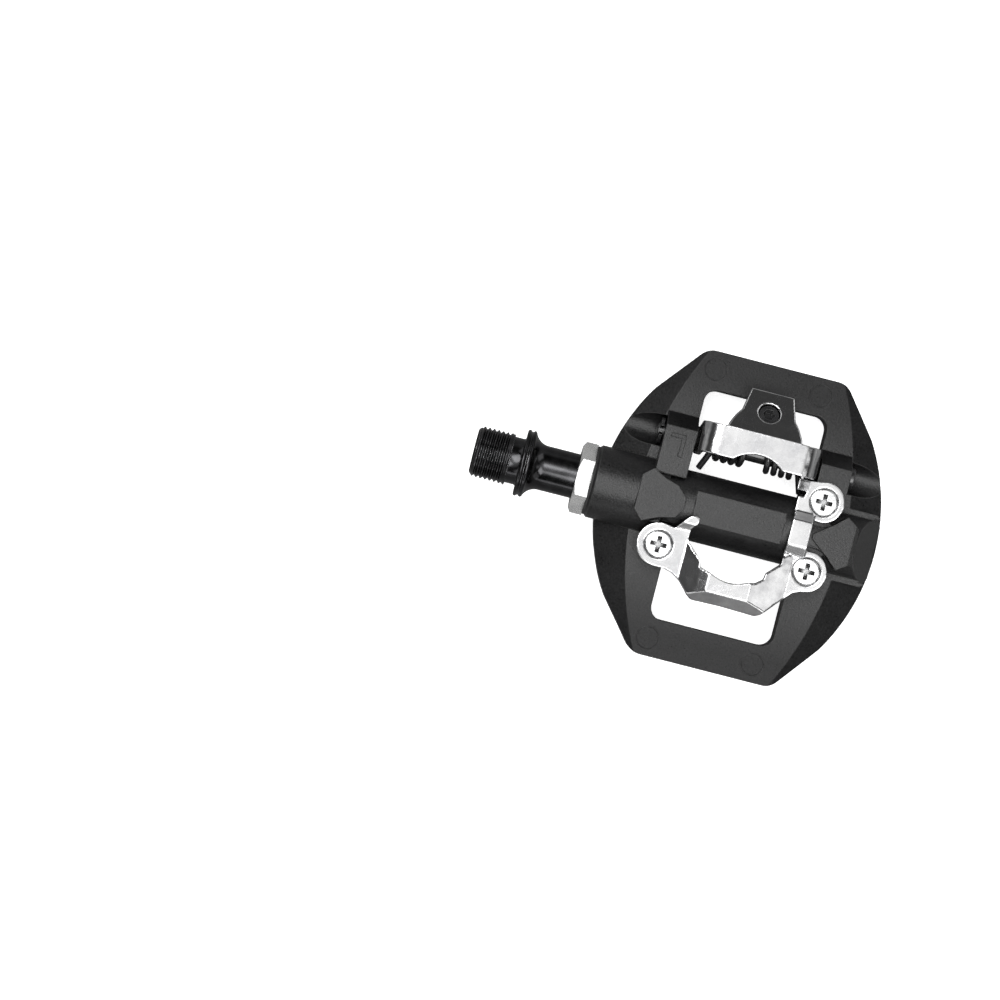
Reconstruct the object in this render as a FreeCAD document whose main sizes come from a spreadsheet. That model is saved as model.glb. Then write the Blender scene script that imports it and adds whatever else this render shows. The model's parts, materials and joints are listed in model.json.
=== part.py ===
import FreeCAD, Part
import math
import os
import re

import Sketcher
from FreeCAD import Placement, Rotation, Vector

# A left-hand clipless pedal with one cleat side and one flat side.
# +X runs along the spindle to the crank, +Y to the front of the bicycle, +Z up on the cleat side.
# The origin is on the spindle's axis, at the collar face that seats on the crank.
# Every piece outside the spindle is drawn about the cleat's centre, which lies at x = -reach.

# ---------------------------------------------------------------- driving sizes, in millimetres

SIZES = {
    # spindle, measured along x from the crank face
    "reach": 61.0,
    "thread_radius": 7.144,
    "thread_length": 13.0,
    "undercut_radius": 6.35,
    "undercut_length": 3.0,
    "tip_chamfer": 1.2,
    "key_flats": 8.0,
    "key_depth": 6.0,
    "collar_radius": 9.2,
    "collar_width": 2.6,
    "collar_groove": 0.45,
    "flare_radius": 4.0,
    "neck_radius": 6.1,
    "shank_radius": 6.0,
    "core_radius": 5.0,
    "seat_radius": 4.0,
    "stud_radius": 3.5,
    # barrel of the platform
    "barrel_mouth": 41.0,
    "barrel_radius": 9.3,
    "barrel_end_radius": 10.0,
    "barrel_edge": 0.6,
    "barrel_end_start": 17.0,
    "barrel_blind_end": 38.3,
    "blind_round": 2.2,
    "blind_end_radius": 8.4,
    "end_slope_top": 30.0,
    "end_slope_foot": 38.4,
    "end_slope_foot_height": -4.6,
    "arrow_run": 4.2,
    "sleeve_bore": 8.5,
    "sleeve_bore_depth": 19.0,
    "race_bore": 7.0,
    "race_bore_end": 30.6,
    "nut_bay_radius": 5.4,
    "nut_bay_depth": 0.5,
    # sleeve, seals and bush at the mouth
    "seal_gap": 0.6,
    "hex_width": 4.0,
    "hex_flats": 17.0,
    "bush_bore_start": 24.0,
    "bush_radius": 7.0,
    "bush_end": 40.0,
    "lip_seal_width": 2.2,
    "running_gap": 0.03,
    "seal_clearance": 0.04,
    # cartridge bearings
    "bearing_width": 4.0,
    "outer_ring_bore": 6.1,
    "inner_ring_radius": 4.9,
    "ball_track": 5.5,
    "ball_radius": 0.794,
    "track_clearance": 0.02,
    "ball_count": 11,
    "cage_half_wall": 0.28,
    "cage_width": 2.4,
    "shield_thickness": 0.2,
    "shield_offset": 1.7,
    "bearing_stack_end": 27.0,
    "washer_thickness": 0.6,
    "spindle_nut_flats": 9.0,
    "spindle_nut_height": 3.4,
    # platform plate and rim
    "platform_half_width": 38.7,
    "platform_half_length": 42.3,
    "edge_half": 17.0,
    "corner_radius": 5.0,
    "shoulder_x": 20.9,
    "shoulder_y": 40.45,
    "flank_x": 30.0,
    "flank_y": 29.3,
    "side_radius": 53.7,
    "face_height": 0.5,
    "floor_height": -6.0,
    "rim_height": -11.0,
    "rim_width": 4.7,
    "rim_corner_x": 17.0,
    "rim_flank_x": 26.3,
    "rim_flank_y": 26.0,
    "rim_side_radius": 48.0,
    "notch_radius": 6.4,
    "notch_depth": 1.8,
    "notch_length": 16.0,
    "corner_notch_x": 24.3,
    "corner_notch_y": 36.3,
    "corner_notch_turn": 39.7,
    "side_notch_x": 34.9,
    "side_notch_y": 19.6,
    "side_notch_turn": 21.9,
    "bevel_centre": 64.0,
    "bevel_radius": 92.8,
    "bevel_angle": 28.0,
    "window_half_width": 17.1,
    "window_edge": 32.0,
    "window_corner": 3.5,
    "disc_radius": 3.0,
    "disc_depth": 0.25,
    "disc_inner_x": 16.0,
    "disc_outer_x": 13.2,
    "disc_y": 37.4,
    # left-hand mark
    "mark_x": 19.7,
    "mark_y": -17.7,
    "mark_width": 4.1,
    "mark_height": 6.0,
    "mark_stroke": 1.1,
    "mark_depth": 0.3,
    # barrel pads
    "pad_height": 10.4,
    "flat_height": 8.9,
    "flat_low_x": -11.3,
    "flat_high_x": 13.2,
    "flat_half_width": 4.2,
    # plate screws and their bosses
    "inner_screw_x": 20.0,
    "inner_screw_y": 12.2,
    "outer_screw_x": 20.0,
    "outer_screw_y": 9.5,
    "seat_height": 7.3,
    "boss_radius": 5.3,
    "boss_bottom": -8.6,
    "seat_clearance": 6.6,
    "screw_radius": 2.0,
    "screw_hole": 2.12,
    "screw_head_radius": 3.75,
    "head_clearance": 0.1,
    "head_sink": 0.5,
    "screw_length": 20.0,
    "cross_width": 4.4,
    "cross_arm": 1.1,
    "cross_depth": 1.7,
    "nut_flats": 7.0,
    "nut_pocket_flats": 7.3,
    "nut_pocket_depth": 3.6,
    "nut_height": 3.4,
    "nut_collar_height": 1.4,
    "nut_collar_radius": 3.1,
    "nylon_radius": 2.6,
    # hook plate
    "sheet_thickness": 2.2,
    "hook_top": 13.0,
    "ear_radius": 5.9,
    "outer_ear_radius": 5.5,
    "rail_top": 11.7,
    # pivot, jaw and springs
    "pivot_y": -17.8,
    "pin_radius": 2.25,
    "pin_half_length": 27.4,
    "pin_head_radius": 3.0,
    "pin_head_width": 1.6,
    "clip_radius": 3.6,
    "clip_width": 0.8,
    "lug_inner": 17.1,
    "lug_outer": 25.6,
    "lug_rear": -23.6,
    "lug_crest": -19.5,
    "lug_front": -6.7,
    "lug_height": 8.0,
    "outer_lug_front": -9.5,
    "trough_radius": 4.3,
    "trough_end": 37.0,
    "trough_bite": 0.2,
    "jaw_sheet": 2.0,
    "jaw_top": 13.0,
    "jaw_half_width": 16.4,
    "jaw_bend": 5.5,
    "jaw_front": -14.6,
    "jaw_rear": -22.9,
    "jaw_eye_radius": 3.9,
    "jaw_notch_half": 6.8,
    "jaw_notch_depth": 2.7,
    "tongue_end": -34.7,
    "tongue_angle": 28.0,
    "tongue_root_half": 10.0,
    "tongue_end_half": 5.6,
    "tension_y": -28.9,
    "tension_hole": 2.95,
    "tension_head_radius": 2.9,
    "tension_head_sink": 0.7,
    "tension_socket": 3.0,
    "tension_flange_radius": 4.0,
    "tension_flange": 1.2,
    "tension_length": 18.6,
    "tension_nut_low": 9.2,
    "tension_nut_height": 3.5,
    "tension_nut_half": 4.6,
    "tension_nut_depth": 6.0,
    "fit_gap": 0.05,
    "washer_radius": 3.6,
    "spring_wire": 0.85,
    "spring_track": 3.7,
    "spring_pitch": 2.12,
    "spring_turns": 4,
    "spring_start": 3.1,
    "spring_rear_angle": 118.0,
    "spring_front_angle": 60.0,
    "spring_rear_leg": 7.2,
    "spring_front_leg": 6.6,
    "spring_splay": 2.2,
}

document = FreeCAD.newDocument("clipless_pedal")
sheet = document.addObject("Spreadsheet::Sheet", "sizes")
for row, (alias, value) in enumerate(SIZES.items(), start=1):
    sheet.set("A%d" % row, alias)
    sheet.set("B%d" % row, str(value))
    sheet.setAlias("B%d" % row, alias)
document.recompute()

NODES = []


# ---------------------------------------------------------------- helpers

def bound(text):
    """An expression for a size that is written with the sheet's aliases."""
    def with_sheet(word):
        name = word.group(0)
        return "sizes." + name if name in SIZES else name
    return re.sub(r"[a-z_]\w*", with_sheet, text)


def bind(target, prop, text):
    target.setExpression(prop, bound(text))


def size(text):
    """The present value of such an expression."""
    return float(sheet.evalExpression(bound(text)))


def new_body(name, x="-reach", y="0", z="0", many=False, own=True):
    """A sub-part's body, placed about the cleat's centre unless told otherwise.
    A body that only builds up another one isn't a sub-part of its own."""
    body = document.addObject("PartDesign::Body", name)
    body.Label = name
    body.AllowCompound = many
    for letter, text in zip("xyz", (x, y, z)):
        bind(body, "Placement.Base." + letter, text)
    if own:
        NODES.append(body)
    return body


def new_sketch(body, plane, lift="0", turn=0.0):
    """A sketch on one of the body's origin planes, lifted along its normal and
    turned about the sketch's own vertical."""
    sketch = body.newObject("Sketcher::SketchObject", body.Name + "_sketch")
    support = [part for part in body.Origin.OriginFeatures if part.Role == plane][0]
    sketch.AttachmentSupport = (support, [""])
    sketch.MapMode = "FlatFace"
    sketch.AttachmentOffset = Placement(Vector(), Rotation(Vector(0, 1, 0), turn))
    bind(sketch, "AttachmentOffset.Base.z", lift)
    return sketch


def pin_point(sketch, edge, end, x, y):
    """Fix one end of a sketch edge at (x, y), bound to the sheet."""
    for kind, text, axis in (("DistanceX", x, -2), ("DistanceY", y, -1)):
        if text == "0":
            sketch.addConstraint(Sketcher.Constraint("PointOnObject", edge, end, axis))
            continue
        index = sketch.addConstraint(
            Sketcher.Constraint(kind, -1, 1, edge, end, size(text)))
        bind(sketch, "Constraints[%d]" % index, text)


def arc_between(start, end, radius, left):
    """The arc of this radius from start to end, bulging to the left or right of the way.
    Arcs run anticlockwise, so a left bulge is drawn from its end back to its start."""
    middle = (start + end) * 0.5
    chord = end - start
    across = Vector(-chord.y, chord.x, 0).normalize()
    rise = math.sqrt(max(radius * radius - chord.Length * chord.Length / 4, 0.0))
    centre = middle + across * (-rise if left else rise)
    tail, head = (end, start) if left else (start, end)
    first = math.atan2(tail.y - centre.y, tail.x - centre.x)
    last = math.atan2(head.y - centre.y, head.x - centre.x)
    if last < first:
        last += 2 * math.pi
    return Part.ArcOfCircle(Part.Circle(centre, Vector(0, 0, 1), radius), first, last)


def outline(sketch, corners):
    """A closed outline through (x, y) corners. A third item is the radius of the arc to the
    next corner: positive bulges to the right of the way round, negative to the left."""
    count = len(corners)
    points = [Vector(size(corner[0]), size(corner[1]), 0) for corner in corners]
    ends = []
    for index, corner in enumerate(corners):
        start, end = points[index], points[(index + 1) % count]
        if len(corner) < 3:
            edge = sketch.addGeometry(Part.LineSegment(start, end), False)
            ends.append((edge, 1, 2))
            continue
        radius = size(corner[2])
        left = radius < 0
        edge = sketch.addGeometry(arc_between(start, end, abs(radius), left), False)
        ends.append((edge, 2, 1) if left else (edge, 1, 2))
        text = corner[2] if radius > 0 else "-(" + corner[2] + ")"
        limit = sketch.addConstraint(Sketcher.Constraint("Radius", edge, abs(radius)))
        bind(sketch, "Constraints[%d]" % limit, text)
    for index, corner in enumerate(corners):
        edge, start, end = ends[index]
        following = ends[(index + 1) % count]
        sketch.addConstraint(
            Sketcher.Constraint("Coincident", edge, end, following[0], following[1]))
        pin_point(sketch, edge, start, corner[0], corner[1])


def circle(sketch, x, y, radius):
    centre = Vector(size(x), size(y), 0)
    edge = sketch.addGeometry(Part.Circle(centre, Vector(0, 0, 1), size(radius)), False)
    pin_point(sketch, edge, 3, x, y)
    index = sketch.addConstraint(Sketcher.Constraint("Radius", edge, size(radius)))
    bind(sketch, "Constraints[%d]" % index, radius)


def rectangle(sketch, x0, y0, x1, y1):
    outline(sketch, [(x0, y0), (x1, y0), (x1, y1), (x0, y1)])


def hexagon(sketch, flats):
    """A regular hexagon round the sketch's origin, two of its flats level."""
    half = "(%s) / 2" % flats
    corner = "(%s) / sqrt(3)" % flats
    mid = "(%s) / sqrt(3) / 2" % flats
    outline(sketch, [
        (corner, "0"), (mid, half), ("-" + mid, half),
        ("-" + corner, "0"), ("-" + mid, "-" + half), (mid, "-" + half)])


def extrude(body, sketch, kind, length, reverse=False, symmetric=False):
    """Pad or Pocket a sketch."""
    feature = body.newObject("PartDesign::" + kind, body.Name + "_" + kind.lower())
    feature.Profile = (sketch, [""])
    feature.Reversed = reverse
    if symmetric:
        feature.SideType = "Symmetric"
    bind(feature, "Length", length)
    sketch.Visibility = False
    body.Tip = feature
    return feature


def revolve(body, sketch, kind="Revolution", axis="H_Axis"):
    """Turn a sketch right round one of its axes, to add (Revolution) or cut (Groove)."""
    feature = body.newObject("PartDesign::" + kind, body.Name + "_" + kind.lower())
    feature.Profile = (sketch, [""])
    feature.ReferenceAxis = (sketch, [axis])
    feature.Angle = 360
    sketch.Visibility = False
    body.Tip = feature
    return feature


def primitive(body, kind, sizes, at=("0", "0", "0"), rotation=None):
    """A PartDesign primitive such as SubtractiveCylinder, its sizes and place bound."""
    feature = body.newObject("PartDesign::" + kind, body.Name + "_" + kind.lower())
    feature.Placement = Placement(Vector(), rotation or Rotation())
    for prop, text in sizes.items():
        bind(feature, prop, text)
    for letter, text in zip("xyz", at):
        bind(feature, "Placement.Base." + letter, text)
    body.Tip = feature
    return feature


ALONG_X = Rotation(Vector(0, 1, 0), 90)


def turned_ring(name, low, high, inner, outer, x="-reach"):
    """A plain ring round the spindle's axis from low to high along x."""
    body = new_body(name, x=x)
    sketch = new_sketch(body, "XZ_Plane")
    rectangle(sketch, low, inner, high, outer)
    revolve(body, sketch)
    return body


# ---------------------------------------------------------------- spindle

def make_spindle():
    """The axle, turned from one bar, drawn from the crank face inwards."""
    body = new_body("spindle", x="0")
    sketch = new_sketch(body, "XZ_Plane")
    flare = "-(collar_width + flare_radius)"
    core_start = "-reach + bush_bore_start - 2"
    seat_start = "-reach - bearing_stack_end + 2 * bearing_width"
    seat_end = "-reach - bearing_stack_end"
    stud_end = "-reach - bearing_stack_end - washer_thickness - spindle_nut_height"
    outline(sketch, [
        ("thread_length", "0"),
        ("thread_length", "thread_radius - tip_chamfer"),
        ("thread_length - tip_chamfer", "thread_radius"),
        ("undercut_length", "thread_radius"),
        ("undercut_length", "undercut_radius"),
        ("0", "undercut_radius"),
        ("0", "collar_radius"),
        ("-collar_width * 0.3", "collar_radius"),
        ("-collar_width * 0.4", "collar_radius - collar_groove"),
        ("-collar_width * 0.6", "collar_radius - collar_groove"),
        ("-collar_width * 0.7", "collar_radius"),
        ("-collar_width", "collar_radius - 0.3"),
        ("-collar_width", "neck_radius + flare_radius * 0.62", "-flare_radius"),
        (flare, "neck_radius"),
        ("-reach + bush_end", "neck_radius"),
        ("-reach + bush_end", "shank_radius"),
        ("-reach + bush_bore_start", "shank_radius"),
        (core_start, "core_radius"),
        (seat_start, "core_radius"),
        (seat_start, "seat_radius"),
        (seat_end, "seat_radius"),
        (seat_end, "stud_radius"),
        (stud_end, "stud_radius"),
        (stud_end, "0")])
    revolve(body, sketch)
    key = new_sketch(body, "YZ_Plane", lift="thread_length")
    hexagon(key, "key_flats")
    extrude(body, key, "Pocket", "key_depth")


# ---------------------------------------------------------------- sleeve, seals and bush

def make_lock_sleeve():
    """The sleeve that screws into the barrel's mouth, its hexagon standing outside."""
    body = new_body("lock_sleeve")
    hex_start = "barrel_mouth + seal_gap"
    hex_end = hex_start + " + hex_width"
    tube_end = "barrel_mouth - sleeve_bore_depth"
    seal_start = hex_end + " - lip_seal_width"
    head = new_sketch(body, "YZ_Plane", lift=hex_start)
    hexagon(head, "hex_flats")
    extrude(body, head, "Pad", "hex_width")
    tube = new_sketch(body, "XZ_Plane")
    rectangle(tube, tube_end, "neck_radius + 0.1", hex_start, "sleeve_bore")
    revolve(body, tube)
    bore = new_sketch(body, "XZ_Plane")
    outline(bore, [
        ("bush_bore_start - 0.01", "0"),
        ("bush_bore_start - 0.01", "bush_radius"),
        ("bush_end", "bush_radius"),
        ("bush_end", "neck_radius + 0.1"),
        (seal_start, "neck_radius + 0.1"),
        (seal_start, "neck_radius + 1.1"),
        (hex_end + " + 1", "neck_radius + 1.1"),
        (hex_end + " + 1", "0")])
    revolve(body, bore, "Groove")
    round_off = new_sketch(body, "XZ_Plane")
    outline(round_off, [
        (hex_end + " - 0.9", "hex_flats / sqrt(3) + 0.3"),
        (hex_end + " + 0.3", "hex_flats / 2 - 0.35"),
        (hex_end + " + 0.3", "hex_flats / sqrt(3) + 0.3")])
    revolve(body, round_off, "Groove")


def make_seals_and_bush():
    """The gasket under the hexagon, the lip seal in its mouth and the plain bush."""
    turned_ring("mouth_seal", "barrel_mouth", "barrel_mouth + seal_gap",
                "sleeve_bore", "barrel_end_radius - 0.6")
    hex_end = "barrel_mouth + seal_gap + hex_width"
    turned_ring("lip_seal", hex_end + " - lip_seal_width", hex_end + " - 0.3",
                "neck_radius + seal_clearance", "neck_radius + 1.1")
    turned_ring("plain_bush", "bush_bore_start", "bush_end",
                "shank_radius + running_gap", "bush_radius")
    turned_ring("bearing_spacer", "-bearing_stack_end + 2 * bearing_width",
                "barrel_mouth - sleeve_bore_depth", "outer_ring_bore + 0.1", "race_bore")


# ---------------------------------------------------------------- cartridge bearings

def make_bearing(name, low):
    """One cartridge bearing: two grooved rings, a ring of balls, their cage and two shields."""
    middle = "(%s) + bearing_width / 2" % low
    high = "(%s) + bearing_width" % low
    groove = "ball_radius + track_clearance"
    outer = turned_ring(name + "_outer_ring", low, high, "outer_ring_bore", "race_bore")
    inner = turned_ring(name + "_inner_ring", low, high, "seat_radius", "inner_ring_radius")
    for body in (outer, inner):
        track = new_sketch(body, "XZ_Plane")
        circle(track, middle, "ball_track", groove)
        revolve(body, track, "Groove")
    balls = new_body(name + "_balls", many=True)
    cage = new_body(name + "_cage")
    band = new_sketch(cage, "XZ_Plane")
    rectangle(band, middle + " - cage_width / 2", "ball_track - cage_half_wall",
              middle + " + cage_width / 2", "ball_track + cage_half_wall")
    revolve(cage, band)
    for index in range(SIZES["ball_count"]):
        angle = "%d * 360 deg / ball_count" % index
        at = (middle, "ball_track * cos(%s)" % angle, "ball_track * sin(%s)" % angle)
        primitive(balls, "AdditiveSphere", {"Radius": "ball_radius"}, at)
        primitive(cage, "SubtractiveSphere", {"Radius": "ball_radius + 0.06"}, at)
    shields = new_body(name + "_shields", many=True)
    for offset in ("-shield_offset", "shield_offset"):
        plate = new_sketch(shields, "XZ_Plane")
        rectangle(plate, "%s + (%s) - shield_thickness / 2" % (middle, offset),
                  "inner_ring_radius + 0.1",
                  "%s + (%s) + shield_thickness / 2" % (middle, offset), "outer_ring_bore")
        revolve(shields, plate)


def make_bearing_stack():
    """Two bearings side by side at the blind end of the barrel, with the nut that holds them."""
    make_bearing("outboard_bearing", "-bearing_stack_end")
    make_bearing("inboard_bearing", "-bearing_stack_end + bearing_width")
    turned_ring("thrust_washer", "-bearing_stack_end - washer_thickness",
                "-bearing_stack_end", "stud_radius", "inner_ring_radius - 0.1")
    nut = new_body("spindle_nut")
    stack = "-bearing_stack_end - washer_thickness"
    block = new_sketch(nut, "YZ_Plane", lift=stack + " - spindle_nut_height")
    hexagon(block, "spindle_nut_flats")
    circle(block, "0", "0", "stud_radius")
    extrude(nut, block, "Pad", "spindle_nut_height")


# ---------------------------------------------------------------- platform body

PLATE_SCREWS = {
    "inner": ("inner_screw_x", "inner_screw_y"),
    "outer_front": ("-outer_screw_x", "outer_screw_y"),
    "outer_rear": ("-outer_screw_x", "-outer_screw_y"),
}


# Plan outlines of the two raised pads on the barrel: (x, y) corners about the cleat's centre.
INNER_PAD = [
    ("28.7", "4.6"), ("26.2", "7.2"), ("21.8", "5.2"), ("17.6", "4.2"), ("15.9", "1.6"),
    ("15.9", "-1.4"), ("18.6", "-4.2"), ("22.4", "-5.3"), ("26", "-7.2"), ("28.7", "-4.8")]
OUTER_PAD = [
    ("-31", "4.6"), ("-27.3", "7.2"), ("-22.6", "3.2"), ("-19.2", "0.6"),
    ("-19.2", "-0.6"), ("-22.6", "-3.2"), ("-27.3", "-7.2"), ("-31", "-4.6")]


def plan_outline(sketch):
    """The platform's outline: two level edges, four rounded shoulders and two bowed sides."""
    outline(sketch, [
        ("edge_half", "platform_half_length", "-corner_radius"),
        ("shoulder_x", "shoulder_y"),
        ("flank_x", "flank_y", "-side_radius"),
        ("flank_x", "-flank_y"),
        ("shoulder_x", "-shoulder_y", "-corner_radius"),
        ("edge_half", "-platform_half_length"),
        ("-edge_half", "-platform_half_length", "-corner_radius"),
        ("-shoulder_x", "-shoulder_y"),
        ("-flank_x", "-flank_y", "-side_radius"),
        ("-flank_x", "flank_y"),
        ("-shoulder_x", "shoulder_y", "-corner_radius"),
        ("-edge_half", "platform_half_length")])


def rim_outline(sketch):
    """The inner edge of the rim on the flat side."""
    y = "platform_half_length - rim_width"
    outline(sketch, [
        ("rim_corner_x", y),
        ("rim_flank_x", "rim_flank_y", "-rim_side_radius"),
        ("rim_flank_x", "-rim_flank_y"),
        ("rim_corner_x", "-(%s)" % y),
        ("-rim_corner_x", "-(%s)" % y),
        ("-rim_flank_x", "-rim_flank_y", "-rim_side_radius"),
        ("-rim_flank_x", "rim_flank_y"),
        ("-rim_corner_x", y)])


def add_plate_and_rim(body):
    """The plate with its bevelled sides, and the rim that stands below it."""
    plate = new_sketch(body, "XY_Plane", lift="floor_height")
    plan_outline(plate)
    extrude(body, plate, "Pad", "face_height - floor_height")
    for side in ("", "-"):
        bevel = new_sketch(body, "XZ_Plane")
        reach = "bevel_radius - bevel_centre"
        far = "platform_half_width + 4"
        drop = "(platform_half_width + 4 - bevel_radius + bevel_centre) * tan(bevel_angle * 1 deg)"
        turn = "%s1 * " % side
        outline(bevel, [
            (turn + "(%s)" % reach, "face_height"),
            (turn + "(%s)" % far, "face_height - " + drop),
            (turn + "(%s)" % far, "face_height + 3"),
            (turn + "(%s)" % reach, "face_height + 3")])
        axis = bevel.addGeometry(Part.LineSegment(Vector(0, -5, 0), Vector(0, 5, 0)), True)
        pin_point(bevel, axis, 1, "%s1 * (-bevel_centre)" % side, "floor_height")
        pin_point(bevel, axis, 2, "%s1 * (-bevel_centre)" % side, "face_height")
        revolve(body, bevel, "Groove", "Axis0")
    rim = new_sketch(body, "XY_Plane", lift="rim_height")
    plan_outline(rim)
    rim_outline(rim)
    extrude(body, rim, "Pad", "floor_height - rim_height")


def cut_windows(body):
    for side in ("", "-"):
        window = new_sketch(body, "XY_Plane", lift="rim_height - 1")
        half, corner = "window_half_width", "window_corner"
        y0, y1 = "%s5" % side, "%swindow_edge" % side
        before = "%s(window_edge - window_corner)" % side
        bulge = "-" if side == "" else ""
        outline(window, [
            ("-" + half, y0),
            ("-" + half, before, bulge + corner),
            ("-%s + %s" % (half, corner), y1),
            ("%s - %s" % (half, corner), y1, bulge + corner),
            (half, before),
            (half, y0)])
        extrude(body, window, "Pocket", "face_height - rim_height + 2", reverse=True)


def cut_rim_notches(body):
    """Ten round saddles across the rim part the pads that the flat side stands on."""
    places = [("0", "platform_half_length", 90), ("0", "-platform_half_length", -90)]
    for name in ("corner_notch", "side_notch"):
        x, y, turn = name + "_x", name + "_y", SIZES[name + "_turn"]
        places += [(x, y, turn), ("-" + x, y, 180 - turn),
                   ("-" + x, "-" + y, turn - 180), (x, "-" + y, -turn)]
    for x, y, turn in places:
        outward = Rotation(Vector(0, 0, 1), turn)
        inward = outward.multVec(Vector(-1, 0, 0))
        at = ("%s + notch_length / 2 * (%f)" % (x, inward.x),
              "%s + notch_length / 2 * (%f)" % (y, inward.y),
              "rim_height + notch_depth - notch_radius")
        primitive(body, "SubtractiveCylinder",
                  {"Radius": "notch_radius", "Height": "notch_length"}, at,
                  outward.multiply(ALONG_X))


def make_barrel():
    """The barrel's outside. Its fatter ends come to a point towards the middle on the flat
    side, and stop short of the hook plate's rail on the cleat side, where the blind end is
    slimmer."""
    body = new_body("barrel", x="0", many=True, own=False)
    for x_sign, far, edge in (("-", "barrel_blind_end", "blind_round"),
                              ("", "barrel_mouth", "barrel_edge")):
        end = new_sketch(body, "XZ_Plane")
        outline(end, [
            (x_sign + "barrel_end_start", "0"),
            (x_sign + "barrel_end_start", "barrel_end_radius"),
            ("%s(%s - %s)" % (x_sign, far, edge), "barrel_end_radius"),
            (x_sign + far, "barrel_end_radius - " + edge),
            (x_sign + far, "0")])
        revolve(body, end)
        start = x_sign + "barrel_end_start"
        tip = "%s(barrel_end_start + arrow_run)" % x_sign
        for y_sign in ("", "-"):
            wedge = new_sketch(body, "XY_Plane", lift="-barrel_end_radius - 1")
            outline(wedge, [(start, "0"), (tip, y_sign + "11"), (start, y_sign + "11")])
            extrude(body, wedge, "Pocket", "barrel_end_radius + face_height + 1",
                    reverse=True)
        step = new_sketch(body, "XY_Plane", lift="face_height")
        step_end = "-barrel_blind_end - 1" if x_sign else tip
        rectangle(step, start, "-11", step_end, "11")
        extrude(body, step, "Pocket", "barrel_end_radius", reverse=True)
    primitive(body, "AdditiveCylinder",
              {"Radius": "blind_end_radius", "Height": "barrel_blind_end - barrel_end_start - 3"},
              ("-barrel_blind_end", "0", "0"), ALONG_X)
    reach = "barrel_end_start + arrow_run + 2"
    primitive(body, "AdditiveCylinder",
              {"Radius": "barrel_radius", "Height": "2 * (%s)" % reach},
              ("-(%s)" % reach, "0", "0"), ALONG_X)
    return body


def join(body, other):
    """Fuse a building-up body into this one."""
    feature = body.newObject("PartDesign::Boolean", body.Name + "_join")
    feature.Type = "Fuse"
    feature.setObjects([other])
    body.Tip = feature


def add_barrel_pads(body):
    """Raised pads on the cleat side, the slope from the outer one down to the rim, and the
    long flat milled on both faces."""
    for corners in (INNER_PAD, OUTER_PAD):
        pad = new_sketch(body, "XY_Plane")
        outline(pad, corners)
        extrude(body, pad, "Pad", "pad_height")
    slope = new_sketch(body, "XZ_Plane")
    outline(slope, [
        ("-end_slope_top", "pad_height"),
        ("-end_slope_foot", "end_slope_foot_height"),
        ("-end_slope_foot - 4", "end_slope_foot_height"),
        ("-end_slope_foot - 4", "pad_height + 2"),
        ("-end_slope_top", "pad_height + 2")])
    extrude(body, slope, "Pocket", "2 * blind_end_radius + 1", symmetric=True)
    for sign in ("", "-"):
        above = new_sketch(body, "XY_Plane", lift=sign + "flat_height")
        rectangle(above, "flat_low_x", "-flat_half_width", "flat_high_x", "flat_half_width")
        extrude(body, above, "Pocket", "2", reverse=(sign == ""))
        below = new_sketch(body, "XY_Plane", lift=sign + "flat_height")
        rectangle(below, "flat_low_x", "-flat_half_width", "flat_high_x", "flat_half_width")
        extrude(body, below, "Pad", "1.2", reverse=(sign == ""))


def add_lugs(body):
    """The two lugs that carry the pivot pin, rising from the plate beside the rear window."""
    for side, front, top in (("", "lug_front", "lug_height"),
                             ("-", "outer_lug_front", "seat_height")):
        low, high = ("lug_inner", "lug_outer") if side == "" else ("-lug_outer", "-lug_inner")
        lug = new_sketch(body, "YZ_Plane", lift=low)
        outline(lug, [
            ("lug_rear", "floor_height"),
            ("lug_rear", "face_height"),
            ("lug_crest", top),
            (front, top),
            (front, "floor_height")])
        extrude(body, lug, "Pad", "(%s) - (%s)" % (high, low))


def add_bosses(body):
    """Columns that seat the hook plate's ears, with nut pockets on the flat side."""
    for x, y in PLATE_SCREWS.values():
        column = new_sketch(body, "XY_Plane", lift="boss_bottom")
        circle(column, x, y, "boss_radius")
        extrude(body, column, "Pad", "seat_height - boss_bottom")


def cut_seats(body):
    for x, y in PLATE_SCREWS.values():
        primitive(body, "SubtractiveCylinder",
                  {"Radius": "seat_clearance", "Height": "8"}, (x, y, "seat_height"))
        primitive(body, "SubtractiveCylinder",
                  {"Radius": "screw_hole", "Height": "seat_height - boss_bottom + 2"},
                  (x, y, "boss_bottom - 1"))
        pocket = primitive(body, "SubtractivePrism",
                           {"Circumradius": "nut_pocket_flats / sqrt(3)",
                            "Height": "nut_pocket_depth + 4"},
                           (x, y, "boss_bottom - 4"))
        pocket.Polygon = 6


def cut_bores(body):
    """The stepped bore for the sleeve, the bearings and the spindle nut."""
    bore = new_sketch(body, "XZ_Plane")
    outline(bore, [
        ("-race_bore_end - nut_bay_depth", "0"),
        ("-race_bore_end - nut_bay_depth", "nut_bay_radius"),
        ("-bearing_stack_end", "nut_bay_radius"),
        ("-bearing_stack_end", "race_bore"),
        ("barrel_mouth - sleeve_bore_depth", "race_bore"),
        ("barrel_mouth - sleeve_bore_depth", "sleeve_bore"),
        ("barrel_mouth + 1", "sleeve_bore"),
        ("barrel_mouth + 1", "0")])
    revolve(body, bore, "Groove")


def cut_pivot(body):
    """The open troughs that the pin is driven in through, and its bore through both lugs."""
    for low in ("lug_outer - trough_bite", "-trough_end"):
        primitive(body, "SubtractiveCylinder",
                  {"Radius": "trough_radius", "Height": "trough_end - lug_outer + trough_bite"},
                  (low, "pivot_y", "0"), ALONG_X)
    primitive(body, "SubtractiveCylinder",
              {"Radius": "pin_radius", "Height": "2 * pin_half_length + 4"},
              ("-pin_half_length - 2", "pivot_y", "0"), ALONG_X)


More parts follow.
